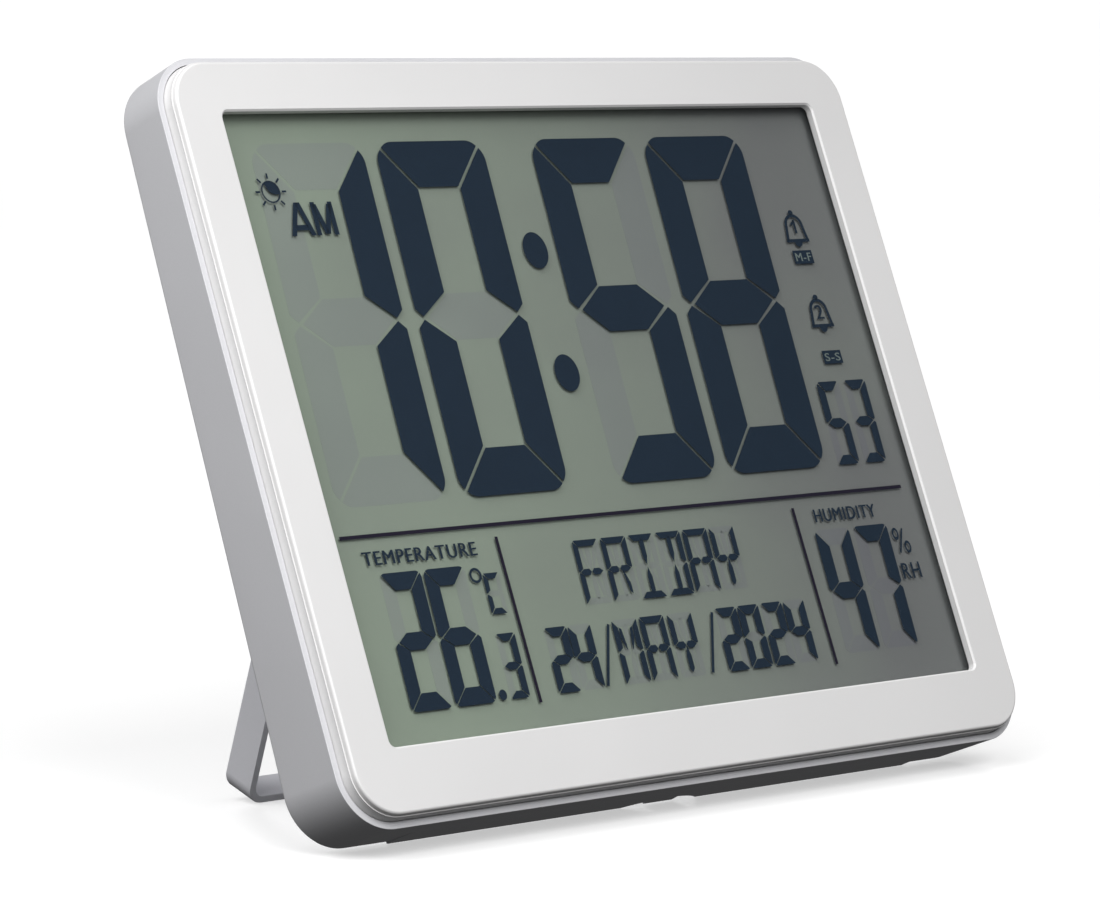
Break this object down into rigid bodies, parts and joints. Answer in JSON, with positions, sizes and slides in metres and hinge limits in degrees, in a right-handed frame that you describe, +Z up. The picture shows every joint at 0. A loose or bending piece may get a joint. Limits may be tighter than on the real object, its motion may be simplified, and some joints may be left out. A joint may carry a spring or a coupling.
{
  "type": "digital desk clock",
  "caption": "Rectangular LCD desk and wall clock with a raised front frame, wedge-shaped case, rear buttons, battery door and fold-out U stand.",
  "frame": {"origin": "centre of the bounding box's underside, on the surface that the clock stands on", "axes": "+X to the viewer's right along the clock's width, +Y back from the display, +Z up"},
  "size_m": [0.2556, 0.1077, 0.2034],
  "materials": {
    "silver_paint": "satin silver-white paint on moulded plastic",
    "case_plastic": "fine-textured silver-grey moulded plastic",
    "stand_plastic": "fine-textured silver-grey moulded plastic",
    "button_plastic": "satin grey moulded plastic",
    "display_film": "matt grey-green polarizer and reflector film",
    "display_glass": "clear float glass",
    "white_plastic": "plain moulded plastic",
    "rubber": "layered silicone rubber",
    "board": "green solder mask over fibreglass",
    "epoxy": "black epoxy drop",
    "nickel": "nickel-plated spring steel",
    "steel": "zinc-plated steel",
    "black_plastic": "black moulded plastic",
    "cell_jacket": "plain printed-film battery jacket with no mark",
    "red_wire": "red insulation",
    "black_wire": "black insulation"
  },
  "bodies": {
    "clock": {"front_bezel": "silver_paint", "rear_case": "case_plastic", "display_polarizer": "display_film", "display_front_glass": "display_glass", "display_rear_glass": "display_glass", "display_reflector": "display_film", "display_backplate": "white_plastic", "connector_strip": "rubber", "circuit_board": "board", "driver_chip": "epoxy", "quartz_crystal": "nickel", "capacitor": "black_plastic", "alarm_switch": "black_plastic", "snooze_switch": "black_plastic", "mode_switch": "black_plastic", "minus_switch": "black_plastic", "plus_switch": "black_plastic", "set_switch": "black_plastic", "upper_battery": "cell_jacket", "lower_battery": "cell_jacket", "positive_contact": "nickel", "negative_contact": "nickel", "bridge_contact": "nickel", "left_hinge_pin": "steel", "right_hinge_pin": "steel", "case_screw_1": "steel", "case_screw_2": "steel", "case_screw_3": "steel", "case_screw_4": "steel", "case_screw_5": "steel", "case_screw_6": "steel", "plate_screw_1": "steel", "plate_screw_2": "steel", "plate_screw_3": "steel", "plate_screw_4": "steel", "board_screw_1": "steel", "board_screw_2": "steel", "board_screw_3": "steel", "board_screw_4": "steel", "sounder": "black_plastic", "climate_sensor": "board", "positive_lead": "red_wire", "negative_lead": "black_wire", "sounder_lead": "black_wire", "sensor_lead": "black_wire"},
    "stand": {"stand": "stand_plastic"},
    "battery_door": {"battery_door": "case_plastic"},
    "alarm_button": {"alarm_button": "button_plastic"},
    "snooze_button": {"snooze_button": "button_plastic"},
    "mode_button": {"mode_button": "button_plastic"},
    "minus_button": {"minus_button": "button_plastic"},
    "plus_button": {"plus_button": "button_plastic"},
    "set_button": {"set_button": "button_plastic"}
  },
  "joints": [
    {"name": "stand_hinge", "type": "hinge", "parent": "clock", "child": "stand", "pos_m": [0, 0.01117, 0.11749], "axis": [1, 0, 0], "range_deg": [-39.8, 0]},
    {"name": "door_slide", "type": "slide", "parent": "clock", "child": "battery_door", "axis": [0, 0.9348, -0.3553], "range_m": [0, 0.02]},
    {"name": "alarm_press", "type": "slide", "parent": "clock", "child": "alarm_button", "axis": [0, -0.9227, 0.3856], "range_m": [0, 0.001], "stiffness_N_per_m": 800, "springref_m": -0.0005},
    {"name": "snooze_press", "type": "slide", "parent": "clock", "child": "snooze_button", "axis": [0, -0.9227, 0.3856], "range_m": [0, 0.001], "stiffness_N_per_m": 800, "springref_m": -0.0005},
    {"name": "mode_press", "type": "slide", "parent": "clock", "child": "mode_button", "axis": [0, -0.9227, 0.3856], "range_m": [0, 0.001], "stiffness_N_per_m": 800, "springref_m": -0.0005},
    {"name": "minus_press", "type": "slide", "parent": "clock", "child": "minus_button", "axis": [0, -0.9227, 0.3856], "range_m": [0, 0.001], "stiffness_N_per_m": 800, "springref_m": -0.0005},
    {"name": "plus_press", "type": "slide", "parent": "clock", "child": "plus_button", "axis": [0, -0.9227, 0.3856], "range_m": [0, 0.001], "stiffness_N_per_m": 800, "springref_m": -0.0005},
    {"name": "set_press", "type": "slide", "parent": "clock", "child": "set_button", "axis": [0, -0.9227, 0.3856], "range_m": [0, 0.001], "stiffness_N_per_m": 800, "springref_m": -0.0005}
  ]
}
